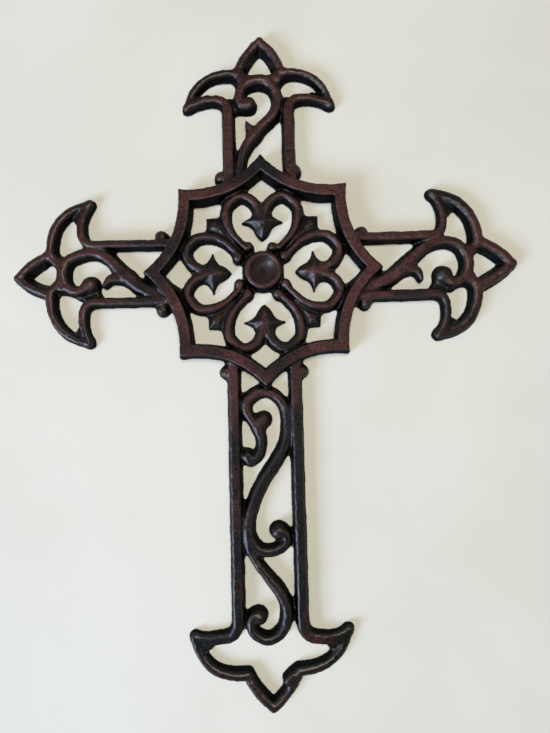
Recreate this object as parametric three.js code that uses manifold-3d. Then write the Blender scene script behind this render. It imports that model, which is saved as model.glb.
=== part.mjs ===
// Cast iron wall cross: one pierced casting with a flat back.
// Millimetres. X runs to the right and Z up. The back lies on the plane y = 0 and the front faces -Y.
// The origin is the centre of the star, on the back of its boss.

import * as THREE from 'three';
import { mergeVertices } from 'three/addons/utils/BufferGeometryUtils.js';
import Module from 'manifold-3d';

const wasm = await Module();
wasm.setup();

// Rib sections: width between the front edges, width at the back, height, and depth of the rounded edge
const starSection = { front: 5.5, back: 7.7, height: 10.4, edge: 0.8 };
const railSection = { front: 4.2, back: 7, height: 7.3, edge: 0.9 };
const scrollSection = { front: 4.2, back: 6.6, height: 6.4, edge: 1.8 };
const heartSection = { front: 4.2, back: 6.8, height: 6.6, edge: 1.8 };
const thornSection = { front: 4.4, back: 5.8, height: 5.8, edge: 1.4 };
const rimRise = { flare: 4.2, height: 6.6, edge: 1.4 };      // a rim's front width differs from arm to arm
const topShare = 0.65;      // how far a rounded edge runs in over the front, as a share of its depth

// Star: eight tips, clockwise from the top one, joined by hollow arcs
const starTips = [58.4, 60.6, 60.2, 59.4, 58.6, 60.6, 60.2, 59];
const starHollow = 6;

// Rosette inside the star
const bossProfile = [[11.1, 0], [10.5, 5.4], [9.6, 7.4], [8.8, 7.9], [7.9, 7.3], [4.6, 6]];
const bossDishHeight = 5.5;
const heartKnots = [
  [6.5, 8.5], [11.2, 13.8], [15.8, 19.8], [18.5, 26.6], [17.8, 34],
  [11.2, 39.4], [4.6, 36.6], [1.5, 30.9], [0.4, 26],
];
const fleurOutline = [[0, 16.3], [3.6, 21.4], [9.9, 25.6], [4.8, 27.6]];      // right half, from its point
const fleurCrown = { at: 24, edge: 4.2, height: 6.2 };
const spurOutline = [[0, 40], [4.6, 36.4], [3.2, 30], [3.4, 22]];
const spurCrown = { at: 33.6, edge: 4, height: 5.8 };
const bossBead = { across: 6.6, along: 12.6, top: 1.7, back: 3, height: 5.2 };

// The four arms, each drawn pointing up: across, then along from the centre of the star
const railStart = 46;
const railBend = 5;      // length of rail that turns out into a wing
const wingShare = 0.68;      // how narrow a rail gets at a wing's tip
const pointBow = 2.2;
const railBead = { top: 2.1, back: 3.4, height: 6.6 };
const bulbHeight = 6.6;
const thornTip = 0.22;      // how narrow a thorn gets
const arms = {
  top: {
    place: ([across, along]) => [across, along],
    rails: [[-15.9, -15.9], [14.8, 14.8]],
    beads: [[-20.4, 49.4], [18, 52]],
    wingAlong: [89, 89.4],
    wingTips: [[-38.4, 87], [38.8, 88]],
    wingSag: 0,
    notches: [[-11.9, 104.2], [13.6, 104.6]],
    tip: [1.4, 122],
    rimFront: 3.4,
    wingBow: 5.8,
    scrolls: [
      {
        knots: [[-10.6, 47], [-9.6, 60], [-2.4, 72.4], [7, 81], [9.8, 88.5], [7.4, 95.8],
          [0.6, 99.6], [-7.3, 96.8], [-10.2, 90.4], [-8.6, 86.4], [-5.4, 87.2]],
        widths: [0.9, 1, 1, 1],
      },
    ],
    bulbs: [{ at: [-5, 87.2], top: 2.5, back: 4 }],
    thorns: [[[-2.2, 72], [-4.6, 74.8], [-6.4, 77.8]]],
  },
  left: {
    place: ([across, along]) => [-along, across],
    rails: [[-14.2, -13.4], [15, 15.4]],
    beads: [[-18.2, 51.2], [19.4, 52]],
    wingAlong: [92.1, 92.3],
    wingTips: [[-35.6, 90.6], [38.4, 89.2]],
    wingSag: 0,
    notches: [[-10.4, 110.8], [12.6, 109.8]],
    tip: [-0.4, 126.8],
    rimFront: 3,
    wingBow: 6.6,
    scrolls: [
      {
        knots: [[-10.4, 47], [-7, 60.8], [1.2, 70.6], [9, 78.4], [12, 87], [8.6, 98.4],
          [0.5, 102.3], [-6.2, 98.8], [-7.5, 93.2], [-3.9, 88.8]],
        widths: [1.5, 1.25, 1.1, 1, 1],
      },
    ],
    bulbs: [{ at: [-3.7, 88.6], top: 2.8, back: 4.4 }],
    thorns: [[[2.6, 73.2], [-1.2, 77.6], [-6.9, 80.2]]],
  },
  right: {
    place: ([across, along]) => [along, across],
    rails: [[-14.2, -13.8], [15.4, 16.2]],
    beads: [[-17, 51.6], [19.2, 52]],
    wingAlong: [93.6, 92.2],
    wingTips: [[-36.4, 91.6], [40.2, 90.2]],
    wingSag: 0,
    notches: [[-11.4, 111.8], [14.8, 112.6]],
    tip: [1, 130],
    rimFront: 4.4,
    wingBow: 6.9,
    scrolls: [
      {
        knots: [[-10, 47], [-4.6, 64], [4.4, 75.2], [11.2, 84.4], [13.4, 93], [10.6, 101],
          [1.7, 105], [-6, 102], [-8.1, 96], [-3.4, 92.4]],
        widths: [1.5, 1.25, 1.1, 1, 1],
      },
    ],
    bulbs: [{ at: [-3.2, 92.4], top: 3.2, back: 4.8 }],
    thorns: [[[3.4, 73], [0.4, 78.4], [-7, 81]]],
  },
  shaft: {
    place: ([across, along]) => [across, -along],
    rails: [[-16.3, -17.2], [14.6, 14.7]],
    beads: [[-20.2, 51], [18.2, 51.4]],
    wingAlong: [184.2, 185],
    wingTips: [[-41, 185], [39.8, 183]],
    wingSag: 3,
    notches: [[-14.4, 205], [13.6, 203.4]],
    tip: [-0.6, 221],
    rimFront: 4,
    wingBow: 5.6,
    scrolls: [
      {
        knots: [[-4.6, 61.5], [-10.2, 65.6], [-10.4, 71.5], [-6.4, 78], [-3.4, 85.5],
          [-4.8, 93], [-9, 96.5], [-10.7, 93.6]],
        widths: [1, 0.9, 0.9],
      },
      {
        knots: [[-10.2, 65.6], [-4.6, 61.5], [2.3, 62.2], [8, 67.6], [9.8, 76], [8.8, 87], [3.8, 96.5],
          [-2.8, 106.2], [-8.8, 117.5], [-11.2, 127], [-10.2, 136.5], [-5, 142.4], [2, 141.8],
          [7.6, 137.6], [7.4, 133.2], [4, 131.8]],
        widths: [1, 1, 1.25, 1.3, 1.2, 1],
      },
      {
        knots: [[-11.4, 128], [-11.8, 138.5], [-6.6, 148], [-0.8, 155.8], [4.9, 163.8], [7.2, 172],
          [4.8, 180.8], [-2, 185.2], [-8.8, 182.6], [-11.3, 177.5], [-9.6, 173.2], [-6.8, 173.8]],
        widths: [1.1, 1.4, 1.2, 1, 0.95],
      },
      { knots: [[-4.8, 79.4], [-2.2, 75.3]], widths: [1] },
    ],
    bulbs: [
      { at: [-10.7, 93.6], top: 2.2, back: 3.6 },
      { at: [-1.9, 75.3], top: 2.4, back: 4.1 },
      { at: [4, 131.6], top: 2.8, back: 4.5 },
      { at: [-6.7, 173.8], top: 2.5, back: 4.2 },
    ],
    thorns: [],
  },
};

// Rises along a dome's side, as shares of its height, and how wide its crown is beside its top
const domeShape = { waist: 0.6, shoulder: 0.86, crown: 0.97, crownShare: 0.55 };

// Fineness of the facets
const maxTurn = THREE.MathUtils.degToRad(26);
const maxBow = 0.16;      // furthest that a curve bows out from its chord
const traceSteps = 240;
const foldShare = 0.92;      // share of the room inside a bend that a rib may fill
const domeSides = 8;
const bossSides = 20;
const starSteps = 6;

// Everything is drawn a little past the back, then cut off flat there
const backAllowance = 2;
const cutter = { width: 400, height: 600, depth: 20 };

const iron = new THREE.MeshStandardMaterial({ color: 0x3a2e2d, roughness: 0.5, metalness: 0.7 });

const point = ([x, z]) => new THREE.Vector2(x, z);
const mirrored = ([x, z]) => [-x, z];

// A closed body from positions and triangles, turned right side out
function solidFrom(positions, triangles) {
  let volume = 0;
  const corner = (index) => new THREE.Vector3().fromArray(positions, index * 3);
  for (let i = 0; i < triangles.length; i += 3) {
    const [a, b, c] = [0, 1, 2].map((k) => corner(triangles[i + k]));
    volume += a.dot(b.cross(c));
  }
  const triVerts = new Uint32Array(triangles);
  if (volume < 0) triVerts.reverse();
  const vertProperties = new Float32Array(positions);
  return new wasm.Manifold(new wasm.Mesh({ numProp: 3, vertProperties, triVerts }));
}

function solidFromGeometry(geometry) {
  geometry.deleteAttribute('normal');
  geometry.deleteAttribute('uv');
  const welded = mergeVertices(geometry);
  const index = Array.from(welded.index.array);
  const triangles = [];
  for (let i = 0; i < index.length; i += 3) {
    const [a, b, c] = index.slice(i, i + 3);
    if (a !== b && b !== c && c !== a) triangles.push(a, b, c);
  }
  return solidFrom(Array.from(welded.attributes.position.array), triangles);
}

// Points along a curve, spaced by how far it bows out from its chords.
// An arc bows out by an eighth of its length times its turn.
function trace(curve) {
  const fine = curve.getSpacedPoints(traceSteps);
  const kept = [fine[0]];
  let bent = 0;
  for (let i = 1; i < fine.length - 1; i += 1) {
    const before = fine[i].clone().sub(fine[i - 1]);
    const after = fine[i + 1].clone().sub(fine[i]);
    bent += Math.abs(Math.atan2(before.cross(after), before.dot(after)));
    const bow = bent * fine[i].distanceTo(kept.at(-1)) / 8;
    if (bent > maxTurn || bow > maxBow) {
      kept.push(fine[i]);
      bent = 0;
    }
  }
  kept.push(fine.at(-1));
  return kept;
}

// A line that bows out by a set amount on its way to its end
function bowTo(path, from, to, bow) {
  const middle = from.clone().lerp(to, 0.5);
  const chord = to.clone().sub(from).normalize();
  const control = middle.add(new THREE.Vector2(chord.y, -chord.x).multiplyScalar(2 * bow));
  path.quadraticCurveTo(control.x, control.y, to.x, to.y);
}

// Sideways direction at a path point, stretched at a corner so that the rib keeps its width
function sideways(into, out) {
  const side = new THREE.Vector2(-into.y - out.y, into.x + out.x).normalize();
  return side.divideScalar(side.dot(new THREE.Vector2(-into.y, into.x)));
}

// How far each point of a path may be moved to its left, or its right, before the moved path folds
function roomBeside(steps, closed, toLeft) {
  const count = steps.length;
  const bends = steps.map((step, i) => {
    const before = steps[i - 1] ?? (closed ? steps[count - 1] : step);
    const turn = Math.atan2(before.cross(step), before.dot(step));
    return Math.tan(turn / 2) * (toLeft ? 1 : -1);
  });
  const rooms = steps.map((step, i) => {
    const closing = bends[i] + (bends[i + 1] ?? (closed ? bends[0] : 0));
    return closing > 0 ? foldShare * step.length() / closing : Infinity;
  });
  return (i) => Math.min(rooms[i - 1] ?? (closed ? rooms[count - 1] : Infinity), rooms[i] ?? Infinity);
}

// The value at a share of the way along a list of evenly spaced values
function along(values, share) {
  const at = share * (values.length - 1);
  const low = Math.min(Math.floor(at), Math.max(values.length - 2, 0));
  return THREE.MathUtils.lerp(values[low], values[low + 1] ?? values[low], at - low);
}

// A rib of the given section along a path.
// Inset moves it to the right of the path, and widths scale it on its way.
function rib(path, section, { closed = false, inset = 0, widths = [1] } = {}) {
  const { front, back, height, edge } = section;
  const spread = (back - front) / 2 / (height - edge);
  const halves = [
    [back / 2 + spread * backAllowance, -backAllowance],
    [front / 2, height - edge],
    [front / 2 - edge * topShare, height],
  ];
  const outline = [...halves, ...halves.map(mirrored).reverse()];
  const count = path.length;
  const sides = outline.length;
  const positions = [];
  const steps = path.map((at, i) => (path[i + 1] ?? path[0]).clone().sub(at));
  if (!closed) steps.pop();
  const [leftRoom, rightRoom] = [roomBeside(steps, closed, true), roomBeside(steps, closed, false)];
  path.forEach((at, i) => {
    const out = (steps[i] ?? steps.at(-1)).clone().normalize();
    const into = (steps[i - 1] ?? (closed ? steps.at(-1) : out)).clone().normalize();
    const side = sideways(into, out);
    const scale = along(widths, i / (count - 1));
    outline.forEach(([offset, rise]) => {
      const shift = Math.max(Math.min(offset * scale - inset, leftRoom(i)), -rightRoom(i));
      const place = at.clone().addScaledVector(side, shift);
      positions.push(place.x, -rise, place.y);
    });
  });
  const triangles = [];
  for (let i = 0; i < (closed ? count : count - 1); i += 1) {
    const next = (i + 1) % count;
    for (let j = 0; j < sides; j += 1) {
      const beside = (j + 1) % sides;
      const [a, b, c, d] = [i * sides + j, next * sides + j, next * sides + beside, i * sides + beside];
      triangles.push(a, b, c, a, c, d);
    }
  }
  if (!closed) {
    const last = (count - 1) * sides;
    for (let j = 1; j < sides - 1; j += 1) {
      triangles.push(0, j, j + 1, last, last + j + 1, last + j);
    }
  }
  return solidFrom(positions, triangles);
}

// A solid turned about an axis that stands on the back, from its foot radius and height up to its top
function turned(profile, topHeight, [x, z], steps) {
  const foot = [profile[0][0], -backAllowance];
  const points = [[0, -backAllowance], foot, ...profile, [0, topHeight]];
  const outline = points.map(([radius, rise]) => new THREE.Vector2(radius, -rise));
  return solidFromGeometry(new THREE.LatheGeometry(outline, steps).translate(x, 0, z));
}

function dome({ top, back, height }, at) {
  const { waist, shoulder, crown, crownShare } = domeShape;
  const profile = [
    [back, 0],
    [(top + back) / 2, height * waist],
    [top, height * shoulder],
    [top * crownShare, height * crown],
  ];
  return turned(profile, height, at, domeSides);
}

// A leaf with an even edge and a raised crown, symmetric about its axis.
// It is turned about the centre of the star.
function leaf(rightHalf, crown, angle) {
  const leftHalf = rightHalf.slice(1).map(mirrored).reverse();
  const turn = (x, z) => new THREE.Vector2(x, z).rotateAround(new THREE.Vector2(), angle);
  const outline = [...rightHalf, ...leftHalf].map(([x, z]) => turn(x, z));
  const centre = turn(0, crown.at);
  const positions = [centre.x, backAllowance, centre.y, centre.x, -crown.height, centre.y];
  outline.forEach((at) => positions.push(at.x, backAllowance, at.y, at.x, -crown.edge, at.y));
  const triangles = [];
  outline.forEach((at, i) => {
    const [low, high] = [2 + 2 * i, 3 + 2 * i];
    const next = (i + 1) % outline.length;
    const [nextLow, nextHigh] = [2 + 2 * next, 3 + 2 * next];
    triangles.push(0, low, nextLow, 1, nextHigh, high, low, high, nextHigh, low, nextHigh, nextLow);
  });
  return solidFrom(positions, triangles);
}

function starFrame() {
  const tips = starTips.map((reach, i) => {
    const angle = i * Math.PI / 4;
    return new THREE.Vector2(Math.sin(angle), Math.cos(angle)).multiplyScalar(reach);
  });
  const outline = new THREE.Path().moveTo(tips[0].x, tips[0].y);
  tips.forEach((tip, i) => bowTo(outline, tip, tips[(i + 1) % tips.length], starHollow));
  const path = outline.getPoints(starSteps).slice(0, -1);
  return rib(path, starSection, { closed: true, inset: starSection.front / 2 });
}

function rosette() {
  const pieces = [turned(bossProfile, bossDishHeight, [0, 0], bossSides)];
  for (let quarter = 0; quarter < 4; quarter += 1) {
    const angle = quarter * Math.PI / 2;
    const turn = (at) => point(at).rotateAround(new THREE.Vector2(), angle);
    for (const half of [(at) => at, mirrored]) {
      const strand = new THREE.SplineCurve(heartKnots.map(half).map(turn));
      const bead = turn(half([bossBead.across, bossBead.along]));
      pieces.push(rib(trace(strand), heartSection));
      pieces.push(dome(bossBead, bead.toArray()));
    }
    pieces.push(leaf(fleurOutline, fleurCrown, angle));
    pieces.push(leaf(spurOutline, spurCrown, angle + Math.PI / 4));
  }
  return pieces;
}

// The outer edge of a finial: wing, notch, point, notch and wing
function finialEdge(arm) {
  const [leftTip, rightTip] = arm.wingTips.map(point);
  const [leftNotch, rightNotch] = arm.notches.map(point);
  const stops = [leftTip, leftNotch, point(arm.tip), rightNotch, rightTip];
  const bows = [-arm.wingBow, -pointBow, -pointBow, -arm.wingBow];
  return bows.flatMap((bow, i) => {
    const edge = new THREE.Path().moveTo(stops[i].x, stops[i].y);
    bowTo(edge, stops[i], stops[i + 1], bow);
    return trace(edge).slice(i === 0 ? 0 : 1);
  });
}

// The middle of the rim's end, half its width in from the end of its outer edge
function rimEnd(end, from, to, halfWidth) {
  const way = to.clone().sub(from).normalize();
  return end.clone().add(new THREE.Vector2(way.y, -way.x).multiplyScalar(halfWidth));
}

// A rail out from the star, which turns out into the inner edge of a wing
function railPath(arm, side, wingEnd) {
  const [across, acrossEnd] = arm.rails[side];
  const reach = arm.wingAlong[side];
  const turnEnd = point([acrossEnd + Math.sign(acrossEnd) * railBend, reach]);
  const bend = new THREE.QuadraticBezierCurve(
    point([acrossEnd, reach - railBend]), point([acrossEnd, reach]), turnEnd);
  const wingMiddle = point([(turnEnd.x + wingEnd.x) / 2, reach + arm.wingSag]);
  const wing = new THREE.QuadraticBezierCurve(turnEnd, wingMiddle, wingEnd);
  return [point([across, railStart]), ...trace(bend), ...trace(wing).slice(1)];
}

function armPieces(arm) {
  const placed = (path) => path.map((at) => point(arm.place(at.toArray())));
  const spline = (knots) => placed(trace(new THREE.SplineCurve(knots.map(point))));
  const facing = point(arm.place([1, 0])).cross(point(arm.place([0, 1])));
  const half = arm.rimFront / 2;
  const { flare, height, edge } = rimRise;
  const edgePath = finialEdge(arm);
  const wingEnds = [
    rimEnd(edgePath[0], edgePath[0], edgePath[1], half),
    rimEnd(edgePath.at(-1), edgePath.at(-2), edgePath.at(-1), half),
  ];
  const rimSection = { front: arm.rimFront, back: arm.rimFront + flare, height, edge };
  const pieces = [rib(placed(edgePath), rimSection, { inset: facing * half })];
  wingEnds.forEach((end, side) => {
    const rail = placed(railPath(arm, side, end));
    pieces.push(rib(rail, railSection, { widths: [1, 1, wingShare] }));
    pieces.push(dome({ top: half, back: half + flare / 4, height }, arm.place(end.toArray())));
    pieces.push(dome(railBead, arm.place(arm.beads[side])));
  });
  arm.scrolls.forEach(({ knots, widths }) => {
    pieces.push(rib(spline(knots), scrollSection, { widths }));
  });
  arm.bulbs.forEach(({ at, top, back }) => {
    pieces.push(dome({ top, back, height: bulbHeight }, arm.place(at)));
  });
  arm.thorns.forEach((knots) => {
    pieces.push(rib(spline(knots), thornSection, { widths: [1, thornTip] }));
  });
  return pieces;
}

function casting() {
  const pieces = [starFrame(), ...rosette(), ...Object.values(arms).flatMap(armPieces)];
  const joined = pieces.reduce((whole, piece) => whole.add(piece));
  const behind = new THREE.BoxGeometry(cutter.width, cutter.depth, cutter.height);
  return joined.subtract(solidFromGeometry(behind.translate(0, cutter.depth / 2, 0)));
}

function meshOf(solid, name, material) {
  const { vertProperties, triVerts } = solid.getMesh();
  const geometry = new THREE.BufferGeometry();
  geometry.setAttribute('position', new THREE.BufferAttribute(vertProperties, 3));
  geometry.setIndex(new THREE.BufferAttribute(triVerts, 1));
  geometry.computeVertexNormals();
  const mesh = new THREE.Mesh(geometry, material);
  mesh.name = name;
  return mesh;
}

const cross = new THREE.Group();
cross.add(meshOf(casting(), 'cross_casting', iron));

export default cross;
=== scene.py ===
import math

import bpy
import numpy as np
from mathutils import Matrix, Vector, noise


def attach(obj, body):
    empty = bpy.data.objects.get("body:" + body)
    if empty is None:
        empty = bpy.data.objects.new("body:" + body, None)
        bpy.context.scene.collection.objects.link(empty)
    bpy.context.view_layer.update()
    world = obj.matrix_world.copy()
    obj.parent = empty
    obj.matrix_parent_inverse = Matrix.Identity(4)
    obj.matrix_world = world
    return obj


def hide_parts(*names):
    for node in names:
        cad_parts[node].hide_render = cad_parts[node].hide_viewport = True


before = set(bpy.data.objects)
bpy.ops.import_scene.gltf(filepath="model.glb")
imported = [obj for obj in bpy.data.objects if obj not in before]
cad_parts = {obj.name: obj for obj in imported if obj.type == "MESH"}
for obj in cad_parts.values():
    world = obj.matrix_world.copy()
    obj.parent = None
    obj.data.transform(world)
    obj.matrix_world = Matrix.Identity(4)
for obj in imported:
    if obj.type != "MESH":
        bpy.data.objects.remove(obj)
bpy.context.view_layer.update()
mm = 0.001
print("frame loaded:", sorted(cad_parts))


# Paths are rows of (across, up) in millimetres, seen from the front

pathStep = 1.2  # mm between the points of a curve


def quarterTurn(points, turns):
    angle = turns * math.pi / 2
    across, up = np.array(points, float).T
    return np.column_stack([across * math.cos(angle) - up * math.sin(angle),
                            across * math.sin(angle) + up * math.cos(angle)])


def flipped(points):
    return np.array(points, float) * (-1, 1)


def throughKnots(knots):  # a smooth curve through every knot
    knots = np.array(knots, float)
    last = len(knots) - 1
    runs = []
    for i in range(last):
        before, a, b, after = knots[max(i - 1, 0)], knots[i], knots[i + 1], knots[min(i + 2, last)]
        leave, arrive = (b - before) / 2, (after - a) / 2
        count = max(2, math.ceil(np.hypot(*(b - a)) / pathStep))
        t = np.linspace(0, 1, count, endpoint=False)[:, None]
        runs.append((2 * a - 2 * b + leave + arrive) * t ** 3
                    + (3 * b - 3 * a - 2 * leave - arrive) * t ** 2 + leave * t + a)
    return np.vstack([*runs, knots[-1:]])


def bent(start, control, end):  # a single bend, pulled towards its control point
    start, control, end = (np.array(p, float) for p in (start, control, end))
    count = max(3, math.ceil(np.hypot(*(end - start)) / pathStep))
    t = np.linspace(0, 1, count)[:, None]
    return start * (1 - t) ** 2 + control * 2 * t * (1 - t) + end * t ** 2


def bowed(start, end, bow):  # a line that bows out to the right of its way by a set amount
    start, end = np.array(start, float), np.array(end, float)
    chord = (end - start) / np.hypot(*(end - start))
    return bent(start, (start + end) / 2 + 2 * bow * np.array([chord[1], -chord[0]]), end)


def joinedRuns(runs):
    return np.vstack([runs[0], *(run[1:] for run in runs[1:])])


def pathLength(path):
    return np.hypot(*np.diff(path, axis=0).T).sum()


def movedRight(path, distance):  # the path moved sideways, with mitred corners
    steps = np.diff(path, axis=0)
    steps /= np.hypot(*steps.T)[:, None]
    into, out = np.vstack([steps[:1], steps]), np.vstack([steps, steps[-1:]])
    side = np.column_stack([into[:, 1] + out[:, 1], -into[:, 0] - out[:, 0]])
    side /= np.hypot(*side.T)[:, None]
    stretch = side[:, 0] * into[:, 1] - side[:, 1] * into[:, 0]
    return path + side * (distance / stretch)[:, None]


# The casting is worked out as distances on a grid: below zero is iron

casting = dict(
    cell=0.5,  # mm between grid points
    low=(-134, -227),
    high=(137, 128),
    tallest=11.5,
    below=1.5, spare=3,  # cells behind the flat back, and cells added in all
    farOff=50,
    fillet=(2.8, 1.3),  # how far neighbouring ribs melt together, at the back and at the top
    filletTop=6,
    triangles=190000,
)
gridX, gridZ = (np.arange(low, high, casting["cell"], dtype=np.float32)
                for low, high in zip(casting["low"], casting["high"]))
levels = math.ceil(casting["tallest"] / casting["cell"]) + casting["spare"]
gridH = ((np.arange(levels) - casting["below"]) * casting["cell"]).astype(np.float32)
meltReach = 2 * max(casting["fillet"])
fillets = np.interp(gridH, (0, casting["filletTop"]), casting["fillet"]).astype(np.float32)
field = np.full((len(gridX), len(gridZ), len(gridH)), casting["farOff"], np.float32)


def roundedCorner(a, b, radius):  # inside both a and b, with a round edge where they meet
    outside = np.hypot(np.maximum(a + radius, 0), np.maximum(b + radius, 0))
    return outside + np.minimum(np.maximum(a, b) + radius, 0) - radius


def fused(a, b):
    share = np.clip(0.5 + 0.5 * (b - a) / fillets, 0, 1)
    return b + (a - b) * share - fillets * share * (1 - share)


def nearPath(path, x, z):  # distance from a path, and how far along it the nearest point is
    nearest = np.full(np.broadcast_shapes(x.shape, z.shape), 1e6, np.float32)
    share = np.zeros_like(nearest)
    lengths = np.hypot(*np.diff(path, axis=0).T)
    starts = np.concatenate([[0], np.cumsum(lengths)])
    for a, b, start, length in zip(path[:-1], path[1:], starts, lengths):
        step = (b - a) / max(length, 1e-6)
        t = np.clip((x - a[0]) * step[0] + (z - a[1]) * step[1], 0, length)
        gap = (x - a[0] - t * step[0]) ** 2 + (z - a[1] - t * step[1]) ** 2
        closer = gap < nearest
        nearest[closer] = gap[closer]
        share[closer] = ((start + t) / max(starts[-1], 1e-6))[closer]
    return np.sqrt(nearest), share


def depthInside(outline, x, z):  # distance inside a closed outline, below zero outside it
    distance, _ = nearPath(np.vstack([outline, outline[:1]]), x, z)
    inside = np.zeros(distance.shape, bool)
    for (ax, az), (bx, bz) in zip(outline, np.roll(outline, -1, 0)):
        if az != bz:
            inside ^= ((az > z) != (bz > z)) & (x < (bx - ax) * (z - az) / (bz - az) + ax)
    return np.where(inside, distance, -distance)


def ribShape(distance, section, scale=1, lift=1):  # a rib with sloping sides and a rounded top
    slope = (section["back"] - section["front"]) / 2 / section["height"]
    top = section["height"] * lift
    half = section["front"] / 2 + slope * (top - gridH)
    side = (distance[..., None] - scale * half) / math.hypot(1, slope)
    return roundedCorner(side, gridH - top, section["round"])


def leafShape(depth, leaf):  # a leaf with a roof that rises to ridges
    depth = depth[..., None]
    crest = leaf["edge"] + leaf["rise"] * np.clip(depth, 0, leaf["crown"])
    side = -depth - leaf["flare"] * (leaf["edge"] - gridH)
    return roundedCorner(side, (gridH - crest) / math.hypot(1, leaf["rise"]), leaf["round"])


def pour(points, reach, shape):  # melts a shape into the casting, in the part of the grid around its points
    low, high = points.min(0) - reach, points.max(0) + reach
    spans = [slice(*np.searchsorted(line, (a, b))) for line, a, b in zip((gridX, gridZ), low, high)]
    x, z = gridX[spans[0]][:, None], gridZ[spans[1]][None, :]
    field[tuple(spans)] = fused(field[tuple(spans)], shape(x, z))


def alongPath(share, values, stations):
    if stations is None:
        stations = np.linspace(0, 1, len(values))
    return np.interp(share, stations, values).astype(np.float32)[..., None]


def pourRib(path, section, widths=(1,), lifts=(1,), stations=None):
    def shape(x, z):
        distance, share = nearPath(path, x, z)
        scale = alongPath(share, widths, stations if len(widths) > 1 else None)
        lift = alongPath(share, lifts, stations if len(lifts) > 1 else None)
        return ribShape(distance, section, scale, lift)
    pour(path, section["back"] / 2 * max(widths) + meltReach, shape)


def pourLining(edge, lining, widths, lift):  # a sloping inner face behind a pointed edge
    top = lining["height"] * lift
    reach = widths[0] + (widths[1] - widths[0]) * (1 - gridH / top)

    def shape(x, z):
        distance, _ = nearPath(edge, x, z)
        side = np.maximum(distance[..., None] - reach, lining["inset"] - depthInside(edge, x, z)[..., None])
        return roundedCorner(side, gridH - top, lining["round"])
    pour(edge, meltReach, shape)


def pourKnob(at, top, back, height):
    pourRib(np.array([at, at], float), dict(front=2 * top, back=2 * back, height=height, round=top))


# Star: eight tips, clockwise from the top one, joined by hollow arcs
starForm = dict(
    tips=(58.4, 60.6, 60.2, 59.4, 58.6, 60.6, 60.2, 59),
    hollow=6,
    front=5.5, back=7.7, height=10.4, round=0.7,
)


def pourStar():
    angles = np.arange(len(starForm["tips"])) * math.pi / 4
    tips = np.column_stack([np.sin(angles), np.cos(angles)]) * np.array(starForm["tips"])[:, None]
    runs = [bowed(a, b, starForm["hollow"]) for a, b in zip(tips, np.roll(tips, -1, 0))]
    outline = joinedRuns(runs)[:-1]

    def shape(x, z):
        offCentre = np.abs(depthInside(outline, x, z) - starForm["front"] / 2)
        return ribShape(offCentre, starForm)
    pour(outline, meltReach, shape)


# Rosette: four hearts around a dished boss, with a leaf in each heart and between each pair
rosetteForm = dict(
    heart=dict(front=3.7, back=6.8, height=6.7, round=1.8),
    heartKnots=((8.6, 12.4), (11.9, 15.6), (15.8, 20.2), (18.4, 26.6), (17.8, 34),
                (11.2, 39.3), (4.6, 36.6), (1.5, 30.9), (0.4, 26)),
    heartWidths=(0.72, 0.76, 0.95, 1, 1, 1, 0.95),
    beads=((4.9, 12.6), (10.9, 7.6), (11, -6.4), (7, -11.4),
           (-8.2, -11), (-12.4, -6.2), (-12.9, 7), (-7.4, 12.8)),
    bead=dict(top=2.5, back=2.8, height=6.9),
    fleur=dict(edge=3.8, rise=0.85, crown=3.4, flare=0.12, round=0.5),
    fleurHalf=(((0, 16.8), (4.2, 22.4), 0.7), ((4.2, 22.4), (10.4, 25.8), -0.7),
               ((10.4, 25.8), (4.8, 29.4), -0.5)),
    spur=dict(edge=2.8, rise=0.75, crown=3.2, flare=0.14, round=0.5),
    spurHalf=(((0, 40.4), (4.4, 36.2), 0), ((4.4, 36.2), (2.8, 30), -0.5), ((2.8, 30), (1.6, 20), 0)),
    bossAt=(-0.1, 0.4),
    boss=dict(front=18.8, back=22, height=7.8, round=1.3),
    dish=dict(floor=3.7, rim=7.8, radius=7.3, edge=0.6),
)


def leafOutline(half, turns):
    right = joinedRuns([bowed(*run) for run in half])
    return quarterTurn(np.vstack([right, flipped(right[:0:-1])]), turns)


def pourLeaf(outline, leaf):
    pour(outline, meltReach, lambda x, z: leafShape(depthInside(outline, x, z), leaf))


def pourBoss():
    dish = rosetteForm["dish"]
    sag = dish["rim"] - dish["floor"]
    ball = (dish["radius"] ** 2 + sag ** 2) / (2 * sag)

    def shape(x, z):
        radius = np.hypot(x - rosetteForm["bossAt"][0], z - rosetteForm["bossAt"][1])
        disc = ribShape(radius, rosetteForm["boss"])
        hollow = ball - np.hypot(radius[..., None], gridH - dish["floor"] - ball)
        return roundedCorner(disc, hollow, dish["edge"])
    pour(np.zeros((1, 2)), rosetteForm["boss"]["back"], shape)


def pourRosette():
    strand = throughKnots(rosetteForm["heartKnots"])
    for turns in range(4):
        for side in (np.array, flipped):
            pourRib(quarterTurn(side(strand), turns), rosetteForm["heart"], rosetteForm["heartWidths"])
        pourLeaf(leafOutline(rosetteForm["fleurHalf"], turns), rosetteForm["fleur"])
        pourLeaf(leafOutline(rosetteForm["spurHalf"], turns + 0.5), rosetteForm["spur"])
    for at in rosetteForm["beads"]:
        pourKnob(at, **rosetteForm["bead"])
    pourBoss()


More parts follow.
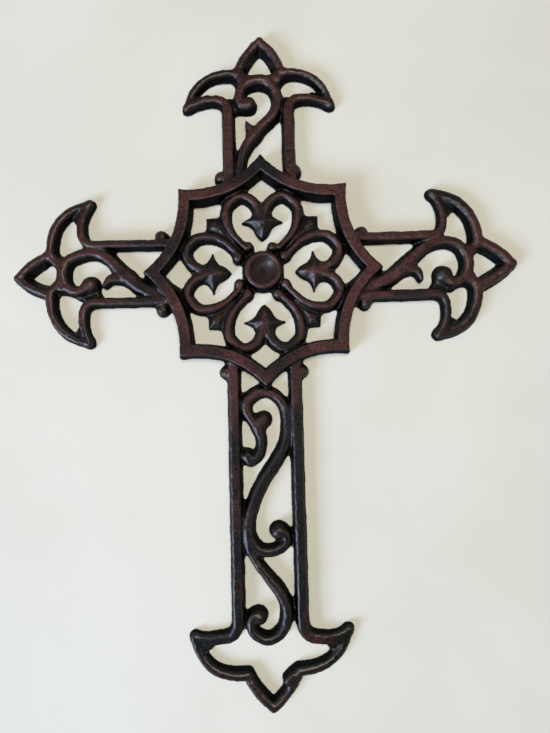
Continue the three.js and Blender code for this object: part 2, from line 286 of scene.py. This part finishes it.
# Arms, each drawn pointing up: across, then along from the centre of the star
armForm = dict(
    rail=dict(front=4.4, back=6.2, height=7.3, round=1.5),
    railStart=46,
    wingWidths=(0.84, 0.84, 0.72),
    wingLifts=(0.9, 0.74, 0.62),
    bead=dict(top=2.9, back=3.7, height=6.8),
    rimHeight=6.4, rimRound=1.7,
    rimLifts=(0.72, 0.9, 1, 1, 1, 1, 0.9, 0.72),
    rimWidths=(0.9, 1, 1, 1, 1, 1, 1, 1, 1, 0.9),
    pointRound=4.2,
    lining=dict(height=6.2, round=1, inset=1),  # its widths, at the front and the back, are each arm's own
    bridge=dict(front=4, back=6, height=6.2, round=1.4),
    web=dict(front=4.2, back=5.6, height=3.4, round=0.8),
    webWidths=(0.6, 1),
    scroll=dict(front=4.2, back=6.6, height=6.7, round=2),
    bulbHeight=7,
    thorn=dict(front=4.2, back=5.6, height=6.2, round=1.7),
)
topArm = dict(
    turns=0,
    rails=((-16, -16), (14.9, 14.9)),
    railWidth=1.15,
    railBend=7.5,
    beads=((-20.3, 49), (17.6, 51.7)),
    wingAlong=(89.6, 89.6),
    wingTips=((-38.8, 86.8), (38.8, 87)),
    wingSag=0.6,
    notches=((-11.9, 104.6), (13.3, 104.8)),
    tip=(1.4, 123.4),
    pointBow=1.5,
    liningWidths=(3.4, 6.2),
    rimFront=3.3, rimFlare=2.4,
    rimLift=1,
    wingWidth=1,
    wingBows=(6.4, 6.4),
    bridges=(((-11.4, 103.4), (-5.6, 99.6)), ((12.8, 103.4), (6.6, 99.6)), ((-9, 99.4), (9.8, 99.4))),
    webs=(((-35, 87), (-26.6, 91)), ((35.4, 87), (28.2, 91.2)),
          ((-15, 89.6), (-12, 86)), ((14.4, 90), (11.6, 87))),
    scrolls=(
        (((-10.6, 47), (-9.4, 60), (-2.6, 71.6), (6.6, 80.6), (9.8, 88.5), (7.4, 95.8),
          (0.6, 99.6), (-7.3, 96.8), (-10.2, 90.4), (-8.6, 86.4), (-5.4, 87.2)), (0.95, 1.1, 1.05, 1)),
    ),
    bulbs=(((-5.2, 87.2), 3.3, 4.3),),
    thorns=(
        (((-2.8, 71.4), (-4.9, 74.6), (-6.7, 77.6)), (1.35, 0.95, 0.3)),
    ),
)
leftArm = dict(
    turns=1,
    rails=((-13.8, -13.6), (15.2, 15.7)),
    railWidth=0.88,
    railBend=7.5,
    beads=((-18.2, 51.9), (19.2, 51.6)),
    wingAlong=(92.2, 92.4),
    wingTips=((-35.9, 90), (39, 88.6)),
    wingSag=0.6,
    notches=((-10, 110.4), (12.4, 109.9)),
    tip=(-0.6, 128.4),
    pointBow=1.3,
    liningWidths=(3.4, 6.2),
    rimFront=3.6, rimFlare=2.8,
    rimLift=1,
    wingWidth=1,
    wingBows=(6.8, 6.8),
    bridges=(((-8.8, 109.4), (-3, 103.8)), ((11.6, 108.8), (6.4, 104)), ((-5.8, 102.2), (7.6, 102.2))),
    webs=(((-32.4, 90), (-28, 93.6)), ((34.8, 89.6), (29.4, 94)), ((-10.8, 93.6), (-10, 86))),
    scrolls=(
        (((-10.4, 47), (-7.4, 60.8), (0.8, 71.2), (9, 79), (12, 87.4), (8.6, 98.4),
          (0.5, 102.3), (-6.2, 98.8), (-7.5, 93.4), (-4.4, 89)), (1.5, 1.35, 1.15, 1, 1)),
    ),
    bulbs=(((-4.3, 88.4), 3.8, 4.9),),
    thorns=(
        (((-1.2, 69.5), (-1.3, 74.8), (-2.4, 78.4), (-5.2, 80.8)), (1.3, 1.25, 1, 0.5)),
    ),
)
rightArm = dict(
    turns=-1,
    rails=((-13.8, -13.6), (16, 16.3)),
    railWidth=1,
    railBend=7.5,
    beads=((-17.6, 51.7), (18.8, 50.8)),
    wingAlong=(93.4, 92.9),
    wingTips=((-36.8, 89.6), (40.8, 88.6)),
    wingSag=0.6,
    notches=((-11.9, 111.7), (14.4, 112.7)),
    tip=(0.8, 131.7),
    pointBow=1.2,
    liningWidths=(3.4, 6.2),
    rimFront=4.6, rimFlare=3.2,
    rimLift=1,
    wingWidth=1,
    wingBows=(7.2, 6.9),
    bridges=(((-11, 110), (-5.4, 106.2)), ((13.2, 110.8), (7, 106.4)), ((-7, 105.4), (8.4, 105.4))),
    webs=(((-33, 91.6), (-28.2, 95.8)), ((35.6, 91), (29.6, 95.8)), ((-11, 96.4), (-10, 89))),
    scrolls=(
        (((-10, 47), (-5.2, 64), (4, 75.2), (11.2, 84.4), (13.4, 93), (10.6, 101),
          (1.7, 105), (-6, 102), (-8.1, 96.6), (-4, 92.6)), (1.5, 1.4, 1.15, 1, 1)),
    ),
    bulbs=(((-4, 92.4), 4.2, 5.4),),
    thorns=(
        (((-0.6, 71.4), (-0.5, 76.2), (-2.3, 79.3), (-6.2, 80.7)), (1.3, 1.25, 1, 0.5)),
    ),
)
shaft = dict(
    turns=2,
    rails=((-16.5, -17.4), (14.6, 14.8)),
    railWidth=1.18,
    railBend=9,
    beads=((-20.2, 51), (18.2, 51.4)),
    wingAlong=(184, 185.4),
    wingTips=((-41.4, 184), (39.8, 183)),
    wingSag=1.6,
    notches=((-14.6, 204.6), (13.9, 203.2)),
    tip=(-0.8, 222.6),
    pointBow=1,
    liningWidths=(2.6, 3.5),
    rimFront=4.1, rimFlare=2.6,
    rimLift=0.88,
    wingWidth=1.35,
    wingBows=(7.4, 5.8),
    bridges=(((9.4, 203), (6.6, 205.4)),),
    webs=(((-38, 186.6), (-32.4, 187.8)), ((36.2, 185), (29.4, 189))),
    scrolls=(
        (((-4.6, 61.5), (-10.2, 65.6), (-10.4, 71.5), (-6.4, 78), (-3.4, 85.5),
          (-4.8, 93), (-9, 96.5), (-10.7, 93.6)), (1, 0.95, 0.95)),
        (((-10.2, 65.6), (-4.6, 61.5), (2.3, 62.2), (8, 67.6), (9.8, 76), (8.8, 87), (3.8, 96.5),
          (-2.8, 106.2), (-8.4, 117.5), (-10.9, 127), (-10, 135.8), (-5, 141.2), (2, 141.2),
          (7.6, 137.6), (7.4, 133.2), (4, 131.8)), (1, 1, 1.2, 1.2, 1.1, 1)),
        (((-12, 130), (-11.4, 139.4), (-6.8, 147.6), (-0.8, 155.8), (4.9, 163.8), (7.2, 172),
          (4.8, 180.8), (-2, 185.2), (-8.8, 182.6), (-11.3, 177.5), (-9.6, 173.2), (-6.8, 173.8)),
         (0.8, 0.85, 1.15, 1.1, 1, 0.95)),
        (((-4.8, 79.4), (-2.2, 75.3)), (1,)),
    ),
    bulbs=(((-10.7, 93.6), 2.8, 3.8), ((-1.9, 75.3), 3.2, 4.3),
           ((4, 131.6), 3.6, 4.8), ((-6.9, 173.8), 3.4, 4.6)),
    thorns=(),
)


def placer(arm):  # left and right arms are drawn with across running up the wall
    turns = arm["turns"]
    if turns == 1:
        return lambda path: np.array(path, float)[:, ::-1] * (-1, 1)
    if turns == -1:
        return lambda path: np.array(path, float)[:, ::-1]
    return lambda path: np.array(path, float) * (1, 1 - turns)


def pointEdge(arm):  # from notch to notch around the rounded point
    tip, bow = np.array(arm["tip"], float), -arm["pointBow"]
    leftNotch, rightNotch = arm["notches"]
    left, right = (tip + armForm["pointRound"] * (notch - tip) / np.hypot(*(notch - tip))
                   for notch in arm["notches"])
    return joinedRuns([bowed(leftNotch, left, bow), bent(left, tip, right), bowed(right, rightNotch, bow)])


def finialEdge(arm):  # the outer edge of a finial: wing, notch, point, notch and wing
    leftTip, rightTip = arm["wingTips"]
    leftNotch, rightNotch = arm["notches"]
    leftBow, rightBow = arm["wingBows"]
    return joinedRuns([bowed(leftTip, leftNotch, -leftBow), pointEdge(arm),
                       bowed(rightNotch, rightTip, -rightBow)])


def pourArm(arm):
    placed = placer(arm)
    rimFront, rimLift, railWidth = arm["rimFront"], arm["rimLift"], arm["railWidth"]
    rim = movedRight(finialEdge(arm), rimFront / 2)
    rimSection = dict(front=rimFront, back=rimFront + arm["rimFlare"],
                      height=armForm["rimHeight"] * rimLift, round=armForm["rimRound"])
    pourRib(placed(rim), rimSection, armForm["rimWidths"], armForm["rimLifts"])
    pourLining(placed(pointEdge(arm)), armForm["lining"], arm["liningWidths"], rimLift)
    bend = arm["railBend"]
    for side, wingEnd in enumerate((rim[0], rim[-1])):
        across, acrossEnd = arm["rails"][side]
        reach = arm["wingAlong"][side]
        turnEnd = (acrossEnd + math.copysign(bend, acrossEnd), reach)
        straight = np.array([(across, armForm["railStart"]), (acrossEnd, reach - bend)])
        corner = bent(straight[-1], (acrossEnd, reach), turnEnd)
        wing = bent(turnEnd, ((turnEnd[0] + wingEnd[0]) / 2, reach + arm["wingSag"]), wingEnd)
        ends = np.cumsum([pathLength(run) for run in (straight, corner, wing)])
        stations = np.array([0, ends[0], ends[1], (ends[1] + ends[2]) / 2, ends[2]]) / ends[2]
        widths = (railWidth, railWidth, *(width * arm["wingWidth"] for width in armForm["wingWidths"]))
        lifts = (1, 1, *(lift * rimLift for lift in armForm["wingLifts"]))
        pourRib(placed(joinedRuns([straight, corner, wing])), armForm["rail"], widths, lifts, stations)
        pourKnob(placed(arm["beads"][side:side + 1])[0], **armForm["bead"])
    for path in arm["bridges"]:
        pourRib(placed(path), armForm["bridge"])
    for path in arm["webs"]:
        pourRib(placed(path), armForm["web"], armForm["webWidths"])
    for knots, widths in arm["scrolls"]:
        pourRib(placed(throughKnots(knots)), armForm["scroll"], widths)
    for at, top, back in arm["bulbs"]:
        pourKnob(placed([at])[0], top, back, armForm["bulbHeight"])
    for knots, widths in arm["thorns"]:
        pourRib(placed(throughKnots(knots)), armForm["thorn"], widths)


pourStar()
pourRosette()
for arm in (topArm, leftArm, rightArm, shaft):
    pourArm(arm)
field = np.maximum(field, -gridH)  # cut off flat at the back
print("casting poured on a grid of", field.shape)


def skinned(field):  # one point in each cell that the surface crosses, and a face over each crossed grid line
    iron = field < 0
    cells = tuple(n - 1 for n in field.shape)
    corners = [(i, j, k) for i in (0, 1) for j in (0, 1) for k in (0, 1)]

    def part(values, c):
        return values[c[0]:c[0] + cells[0], c[1]:c[1] + cells[1], c[2]:c[2] + cells[2]]

    full = sum(part(iron, c).astype(np.int8) for c in corners)
    at = np.nonzero((full > 0) & (full < len(corners)))
    number = np.full(cells, -1, np.int32)
    number[at] = np.arange(len(at[0]))
    values = {c: part(field, c)[at] for c in corners}
    points = np.zeros((len(at[0]), 3))
    crossings = np.zeros(len(at[0]))
    for a in corners:
        for axis in range(3):
            if a[axis] == 0:
                b = tuple(v + (i == axis) for i, v in enumerate(a))
                crossed = (values[a] < 0) != (values[b] < 0)
                spot = np.tile(np.array(a, float), (crossed.sum(), 1))
                spot[:, axis] = values[a][crossed] / (values[a][crossed] - values[b][crossed])
                points[crossed] += spot
                crossings[crossed] += 1
    points = points / crossings[:, None] + np.column_stack(at)
    faces = []
    for axis in range(3):
        first, second = [v for v in range(3) if v != axis]
        ahead = np.diff(iron.astype(np.int8), axis=axis)
        edge = np.array(np.nonzero(ahead)).T
        edge = edge[(edge[:, first] > 0) & (edge[:, second] > 0)]
        ring = []
        for back in ((0, 0), (1, 0), (1, 1), (0, 1)):
            cell = edge.copy()
            cell[:, first] -= back[0]
            cell[:, second] -= back[1]
            ring.append(number[tuple(cell.T)])
        ring = np.column_stack(ring)
        turnOver = (ahead[tuple(edge.T)] > 0) != (axis == 1)
        ring[turnOver] = ring[turnOver, ::-1]
        faces.append(ring)
    return points, np.vstack(faces)


def meshOf(name, points, faces):
    mesh = bpy.data.meshes.new(name)
    mesh.vertices.add(len(points))
    mesh.vertices.foreach_set("co", points.astype(np.float32).ravel())
    mesh.loops.add(faces.size)
    mesh.loops.foreach_set("vertex_index", faces.astype(np.int32).ravel())
    mesh.polygons.add(len(faces))
    mesh.polygons.foreach_set("loop_start", np.arange(len(faces), dtype=np.int32) * 4)
    mesh.update(calc_edges=True)
    return mesh


# Sand-cast unevenness, in mm
sandSkin = dict(lump=0.28, lumpSize=7, ripple=0.22, rippleSize=1.9, flatBack=0.4, sharpAngle=55)


def roughened(mesh):
    count = len(mesh.vertices)
    places, normals = np.zeros(count * 3, np.float32), np.zeros(count * 3, np.float32)
    mesh.vertices.foreach_get("co", places)
    mesh.vertex_normals.foreach_get("vector", normals)
    places, normals = places.reshape(-1, 3), normals.reshape(-1, 3)
    lump, ripple = (places / (sandSkin[size] * mm) for size in ("lumpSize", "rippleSize"))
    moved = np.array([sandSkin["lump"] * noise.noise(a) + sandSkin["ripple"] * noise.noise(b)
                      for a, b in zip(lump, ripple)])
    moved *= np.clip(-places[:, 1] / (sandSkin["flatBack"] * mm), 0, 1)  # the back stays flat
    places += normals * (moved * mm)[:, None]
    mesh.vertices.foreach_set("co", places.ravel())
    mesh.update()


def fieldAt(places):  # the casting's distance at any places, in metres
    spots = np.column_stack([places[:, 0] / mm - casting["low"][0], places[:, 2] / mm - casting["low"][1],
                             -places[:, 1] / mm - gridH[0]]) / casting["cell"]
    kept = np.clip(spots, 0, np.array(field.shape) - 1.001)
    found = np.linalg.norm(spots - kept, axis=1) * casting["cell"]  # beyond the grid it goes on growing
    base = kept.astype(int)
    part = kept - base
    for corner in np.ndindex(2, 2, 2):
        weight = np.prod(np.where(corner, part, 1 - part), axis=1)
        found += weight * field[tuple((base + corner).T)]
    return found


# How closed in the surface is, kept on the mesh so the finish can paint shade into the closed-in places
creviceShadeReach = (1.5, 3, 5)  # mm


def markCreviceShade(mesh):
    count = len(mesh.vertices)
    places, normals = np.zeros(count * 3), np.zeros(count * 3)
    mesh.vertices.foreach_get("co", places)
    mesh.vertex_normals.foreach_get("vector", normals)
    places, normals = places.reshape(-1, 3), normals.reshape(-1, 3)
    closed = [np.clip(1 - fieldAt(places + normals * reach * mm) / reach, 0, 1) for reach in creviceShadeReach]
    crevice = mesh.attributes.new("crevice", "FLOAT", "POINT")
    crevice.data.foreach_set("value", np.mean(closed, axis=0).astype(np.float32))


points, faces = skinned(field)
x, z, h = (points * casting["cell"]).T
points = np.column_stack([x + casting["low"][0], -(h + gridH[0]), z + casting["low"][1]]) * mm
rough = bpy.data.objects.new("roughCasting", meshOf("roughCasting", points, faces))
bpy.context.scene.collection.objects.link(rough)
roughened(rough.data)
thinning = rough.modifiers.new("thinning", "DECIMATE")
thinning.ratio = min(1, casting["triangles"] / (2 * len(faces)))
evaluated = rough.evaluated_get(bpy.context.evaluated_depsgraph_get())
crossMesh = bpy.data.meshes.new_from_object(evaluated)
crossMesh.name = "crossIron"
bpy.data.objects.remove(rough)
markCreviceShade(crossMesh)
crossMesh.shade_smooth()
crossMesh.set_sharp_from_angle(angle=math.radians(sandSkin["sharpAngle"]))
crossIron = bpy.data.objects.new("cross_iron", crossMesh)
bpy.context.scene.collection.objects.link(crossIron)
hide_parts("cross_casting")
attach(crossIron, "root")
print("casting skinned:", len(faces), "faces thinned to", len(crossMesh.polygons))


# Material helpers


def addNode(tree, kind, values=None, **settings):
    node = tree.nodes.new(kind)
    for name, value in settings.items():
        setattr(node, name, value)
    for name, value in (values or {}).items():
        node.inputs[name].default_value = value
    return node


def wire(tree, *pairs):
    for source, target in pairs:
        tree.links.new(source, target)


def newGroup(name, inputs, outputs):
    tree = bpy.data.node_groups.new(name, "ShaderNodeTree")
    for label, kind, value in inputs:
        socket = tree.interface.new_socket(name=label, in_out="INPUT", socket_type="NodeSocket" + kind)
        if value is not None:
            socket.default_value = value
    for label, kind in outputs:
        tree.interface.new_socket(name=label, in_out="OUTPUT", socket_type="NodeSocket" + kind)
    return tree, tree.nodes.new("NodeGroupInput"), tree.nodes.new("NodeGroupOutput")


def placeGroup(tree, group, values=None):
    node = addNode(tree, "ShaderNodeGroup", node_tree=group)
    for name, value in (values or {}).items():
        node.inputs[name].default_value = value
    return node


def ranged(tree, low, high, toLow=0.0, toHigh=1.0):  # stretches one range of values onto another
    return addNode(tree, "ShaderNodeMapRange", {
        "From Min": low, "From Max": high, "To Min": toLow, "To Max": toHigh})


def makeGrain():  # fine sandy speckle, with a coarser unevenness under it
    tree, given, made = newGroup("sandGrain", (
        ("Place", "Vector", None), ("Fine", "Float", 1500.0), ("Coarse", "Float", 260.0),
        ("Coarse Share", "Float", 0.5),
    ), (("Speckle", "Float"), ("Height", "Float")))
    fine = addNode(tree, "ShaderNodeTexNoise", {"Detail": 3.0, "Roughness": 0.7})
    coarse = addNode(tree, "ShaderNodeTexNoise", {"Detail": 4.0, "Roughness": 0.6})
    both = addNode(tree, "ShaderNodeMix", data_type="FLOAT")
    wire(tree, (given.outputs["Place"], fine.inputs["Vector"]), (given.outputs["Fine"], fine.inputs["Scale"]),
         (given.outputs["Place"], coarse.inputs["Vector"]), (given.outputs["Coarse"], coarse.inputs["Scale"]),
         (given.outputs["Coarse Share"], both.inputs[0]), (fine.outputs["Fac"], both.inputs[2]),
         (coarse.outputs["Fac"], both.inputs[3]), (fine.outputs["Fac"], made.inputs["Speckle"]),
         (both.outputs[0], made.inputs["Height"]))
    return tree


def makePatches():  # broad drifting patches between two colours
    tree, given, made = newGroup("driftingPatches", (
        ("Place", "Vector", None), ("Size", "Float", 20.0), ("Shift", "Float", 0.0),
        ("Low", "Float", 0.4), ("High", "Float", 0.6),
        ("First", "Color", (0, 0, 0, 1)), ("Second", "Color", (1, 1, 1, 1)),
    ), (("Color", "Color"),))
    drift = addNode(tree, "ShaderNodeTexNoise", {"Detail": 3.0, "Roughness": 0.55})
    shifted = addNode(tree, "ShaderNodeMath", operation="ADD")
    mask = addNode(tree, "ShaderNodeMapRange", interpolation_type="SMOOTHSTEP")
    blend = addNode(tree, "ShaderNodeMix", data_type="RGBA")
    wire(tree, (given.outputs["Place"], drift.inputs["Vector"]),
         (given.outputs["Size"], drift.inputs["Scale"]), (drift.outputs["Fac"], shifted.inputs[0]),
         (given.outputs["Shift"], shifted.inputs[1]), (shifted.outputs[0], mask.inputs["Value"]),
         (given.outputs["Low"], mask.inputs["From Min"]), (given.outputs["High"], mask.inputs["From Max"]),
         (mask.outputs["Result"], blend.inputs[0]), (given.outputs["First"], blend.inputs[6]),
         (given.outputs["Second"], blend.inputs[7]), (blend.outputs[2], made.inputs["Color"]))
    return tree


def makeFacing():  # how squarely a surface faces the front
    tree, given, made = newGroup("facingFront", (
        ("Low", "Float", 0.2), ("High", "Float", 0.9),
    ), (("Mask", "Float"),))
    geometry = addNode(tree, "ShaderNodeNewGeometry")
    front = addNode(tree, "ShaderNodeVectorMath", operation="DOT_PRODUCT")
    front.inputs[1].default_value = (0, -1, 0)
    mask = addNode(tree, "ShaderNodeMapRange", interpolation_type="SMOOTHSTEP")
    wire(tree, (geometry.outputs["Normal"], front.inputs[0]), (front.outputs["Value"], mask.inputs["Value"]),
         (given.outputs["Low"], mask.inputs["From Min"]), (given.outputs["High"], mask.inputs["From Max"]),
         (mask.outputs["Result"], made.inputs["Mask"]))
    return tree


grainGroup, patchGroup, facingGroup = makeGrain(), makePatches(), makeFacing()

# Iron with a waxed dark patina, redder on the raised faces; the walls get a darker colour, partly the iron's
# own black and partly painted shade, and the hollows a near black painted shade
ironFinish = dict(
    # painted shade: hollow is the near black colour painted into closed-in places
    hollow=(0.0015, 0.0015, 0.0015, 1),
    # painted shade: wall is a darker colour for the side walls, partly the iron's own black and partly
    # painted shade
    wall=(0.009, 0.0095, 0.011, 1),
    black=(0.0125, 0.012, 0.0145, 1),
    oxblood=(0.05, 0.0235, 0.0245, 1),
    metal=0.6, glint=0.05, glintTint=(0.15, 0.15, 0.15, 1),
    raised=(3.6, 6.4),  # mm above the back
    front=(0.3, 0.9),  # how squarely a face looks forward, from wall to front
    creviceShade=(0.18, 0.6),  # how closed in a place is, from open to hollow, where the painted shade goes from none to full
    patchSize=26.0, patchRange=(0.36, 0.58),
    shaftSpan=(-0.12, -0.06), shaftShift=(-0.12, 0.02),  # the shaft turns black further down
    grainFine=1400.0, grainCoarse=420.0, grainShare=0.45,
    grainRange=(0.3, 0.7),
    speck=(0.2, 2.4),
    roughness=(0.42, 0.64),
    shine=0.62, shineRough=0.4, shineBend=1.8,  # wax on the rounded shoulders
    shoulder=(0.3, 0.6), flat=(0.92, 0.995),
    bump=0.7, bumpDepth=0.0005,
)


def facingMask(tree, limits):
    return placeGroup(tree, facingGroup, dict(zip(("Low", "High"), limits)))


def makeIron():
    finish = ironFinish
    material = bpy.data.materials.new("waxedCastIron")
    material.use_nodes = True
    tree = material.node_tree
    shader = tree.nodes["Principled BSDF"]
    shader.inputs["Metallic"].default_value = finish["metal"]
    shader.inputs["Specular IOR Level"].default_value = finish["glint"]
    shader.inputs["Specular Tint"].default_value = finish["glintTint"]
    shader.inputs["Coat Roughness"].default_value = finish["shineRough"]
    shader.inputs["Coat IOR"].default_value = finish["shineBend"]
    place = addNode(tree, "ShaderNodeTexCoord").outputs["Object"]
    axes = addNode(tree, "ShaderNodeSeparateXYZ")

    # Drifting patches on the raised fronts, plain dark walls that are partly painted shade, and hollows
    # almost black as painted shade
    lower = ranged(tree, *finish["shaftSpan"], *finish["shaftShift"])
    patches = placeGroup(tree, patchGroup, {
        "Size": finish["patchSize"], "Low": finish["patchRange"][0], "High": finish["patchRange"][1],
        "First": finish["black"], "Second": finish["oxblood"]})
    raised = ranged(tree, *(-height * mm for height in finish["raised"]))
    facing = facingMask(tree, finish["front"])
    raisedFront = addNode(tree, "ShaderNodeMath", operation="MULTIPLY")
    body = addNode(tree, "ShaderNodeMix", data_type="RGBA")
    body.inputs[6].default_value = finish["wall"]
    crevice = addNode(tree, "ShaderNodeAttribute", attribute_name="crevice")
    creviceShade = ranged(tree, *finish["creviceShade"])
    shaded = addNode(tree, "ShaderNodeMix", data_type="RGBA")
    shaded.inputs[7].default_value = finish["hollow"]
    wire(tree, (place, patches.inputs["Place"]), (place, axes.inputs[0]),
         (axes.outputs["Z"], lower.inputs["Value"]), (lower.outputs["Result"], patches.inputs["Shift"]),
         (axes.outputs["Y"], raised.inputs["Value"]), (raised.outputs["Result"], raisedFront.inputs[0]),
         (facing.outputs["Mask"], raisedFront.inputs[1]), (raisedFront.outputs[0], body.inputs[0]),
         (patches.outputs["Color"], body.inputs[7]), (crevice.outputs["Fac"], creviceShade.inputs["Value"]),
         (creviceShade.outputs["Result"], shaded.inputs[0]), (body.outputs[2], shaded.inputs[6]))

    # Wax on the shoulders, between the flat fronts and the walls
    shoulder, flat = facingMask(tree, finish["shoulder"]), facingMask(tree, finish["flat"])
    rounded = addNode(tree, "ShaderNodeMath", operation="SUBTRACT", use_clamp=True)
    shine = ranged(tree, 0.0, 1.0, 0.0, finish["shine"])
    wire(tree, (shoulder.outputs["Mask"], rounded.inputs[0]), (flat.outputs["Mask"], rounded.inputs[1]),
         (rounded.outputs[0], shine.inputs["Value"]), (shine.outputs["Result"], shader.inputs["Coat Weight"]))

    # Sandy grain in the colour, the roughness and the relief
    grain = placeGroup(tree, grainGroup, {
        "Fine": finish["grainFine"], "Coarse": finish["grainCoarse"], "Coarse Share": finish["grainShare"]})
    speck = ranged(tree, *finish["grainRange"], *finish["speck"])
    tinted = addNode(tree, "ShaderNodeMix", {"Factor": 1.0}, data_type="RGBA", blend_type="MULTIPLY")
    rough = ranged(tree, *finish["grainRange"], *finish["roughness"])
    bump = addNode(tree, "ShaderNodeBump", {"Strength": finish["bump"], "Distance": finish["bumpDepth"]})
    wire(tree, (place, grain.inputs["Place"]), (grain.outputs["Speckle"], speck.inputs["Value"]),
         (shaded.outputs[2], tinted.inputs[6]), (speck.outputs["Result"], tinted.inputs[7]),
         (tinted.outputs[2], shader.inputs["Base Color"]), (grain.outputs["Height"], rough.inputs["Value"]),
         (rough.outputs["Result"], shader.inputs["Roughness"]),
         (grain.outputs["Height"], bump.inputs["Height"]), (bump.outputs["Normal"], shader.inputs["Normal"]))
    return material


crossIron.data.materials.clear()
crossIron.data.materials.append(makeIron())
print("iron finished")


# Pale wall just behind the flat back, seen only from the front
wallForm = dict(width=2.4, height=2.4, behind=0.0004,
                pale=(0.74, 0.745, 0.735, 1), paler=(0.775, 0.785, 0.785, 1),
                patchSize=9.0, patchRange=(0.35, 0.65), roughness=0.7)


def makeWall():
    halfWidth, halfHeight = wallForm["width"] / 2, wallForm["height"] / 2
    corners = [(-halfWidth, -halfHeight), (halfWidth, -halfHeight),
               (halfWidth, halfHeight), (-halfWidth, halfHeight)]
    mesh = bpy.data.meshes.new("paleWall")
    mesh.from_pydata([(x, wallForm["behind"], z) for x, z in corners], [], [(0, 1, 2, 3)])
    wall = bpy.data.objects.new("pale_wall", mesh)
    bpy.context.scene.collection.objects.link(wall)
    material = bpy.data.materials.new("paleWall")
    material.use_nodes = True
    tree = material.node_tree
    shader, output = tree.nodes["Principled BSDF"], tree.nodes["Material Output"]
    shader.inputs["Roughness"].default_value = wallForm["roughness"]
    place = addNode(tree, "ShaderNodeTexCoord").outputs["Object"]
    patches = placeGroup(tree, patchGroup, {
        "Size": wallForm["patchSize"], "Low": wallForm["patchRange"][0], "High": wallForm["patchRange"][1],
        "First": wallForm["pale"], "Second": wallForm["paler"]})
    behind = addNode(tree, "ShaderNodeNewGeometry")
    clear = addNode(tree, "ShaderNodeBsdfTransparent")
    either = addNode(tree, "ShaderNodeMixShader")
    wire(tree, (place, patches.inputs["Place"]), (patches.outputs["Color"], shader.inputs["Base Color"]),
         (behind.outputs["Backfacing"], either.inputs[0]), (shader.outputs[0], either.inputs[1]),
         (clear.outputs[0], either.inputs[2]), (either.outputs[0], output.inputs["Surface"]))
    mesh.materials.append(material)


makeWall()

# Warm room light from the front and a cool window low on the left
lights = (
    dict(name="room", at=(0.05, -1.7, 0.1), size=0.75, power=20.8, color=(1.0, 0.93, 0.74)),
    dict(name="window", at=(-1.07, -0.8, -0.8), size=0.6, power=17.2, color=(0.6, 0.74, 0.98)),
)
room = dict(color=(1.0, 0.95, 0.8, 1), strength=0.1)


def makeLights():
    for light in lights:
        data = bpy.data.lights.new(light["name"], "AREA")
        data.size, data.energy, data.color = light["size"], light["power"], light["color"]
        lamp = bpy.data.objects.new(light["name"], data)
        lamp.location = light["at"]
        lamp.rotation_euler = Vector(light["at"]).to_track_quat("Z", "Y").to_euler()
        bpy.context.scene.collection.objects.link(lamp)
    world = bpy.data.worlds.new("paleRoom")
    world.use_nodes = True
    background = world.node_tree.nodes["Background"]
    background.inputs["Color"].default_value = room["color"]
    background.inputs["Strength"].default_value = room["strength"]
    bpy.context.scene.world = world
    bpy.context.scene.view_settings.view_transform = "Standard"


makeLights()

# Camera close in front of the shaft, a little below the star, turned slightly on its axis
photoView = dict(eye=(1.19, -283.45, -57.97), tilt=91.91, roll=1.664, turn=-0.625,
                 lens=27.01, sensor=36, near=0.01)


def makeCamera():
    data = bpy.data.cameras.new("photoView")
    data.lens, data.sensor_width = photoView["lens"], photoView["sensor"]
    data.clip_start = photoView["near"]
    camera = bpy.data.objects.new("photoView", data)
    camera.location = Vector(photoView["eye"]) * mm
    camera.rotation_euler = [math.radians(photoView[name]) for name in ("tilt", "roll", "turn")]
    bpy.context.scene.collection.objects.link(camera)
    bpy.context.scene.camera = camera


makeCamera()
print("wall, lights and camera set")
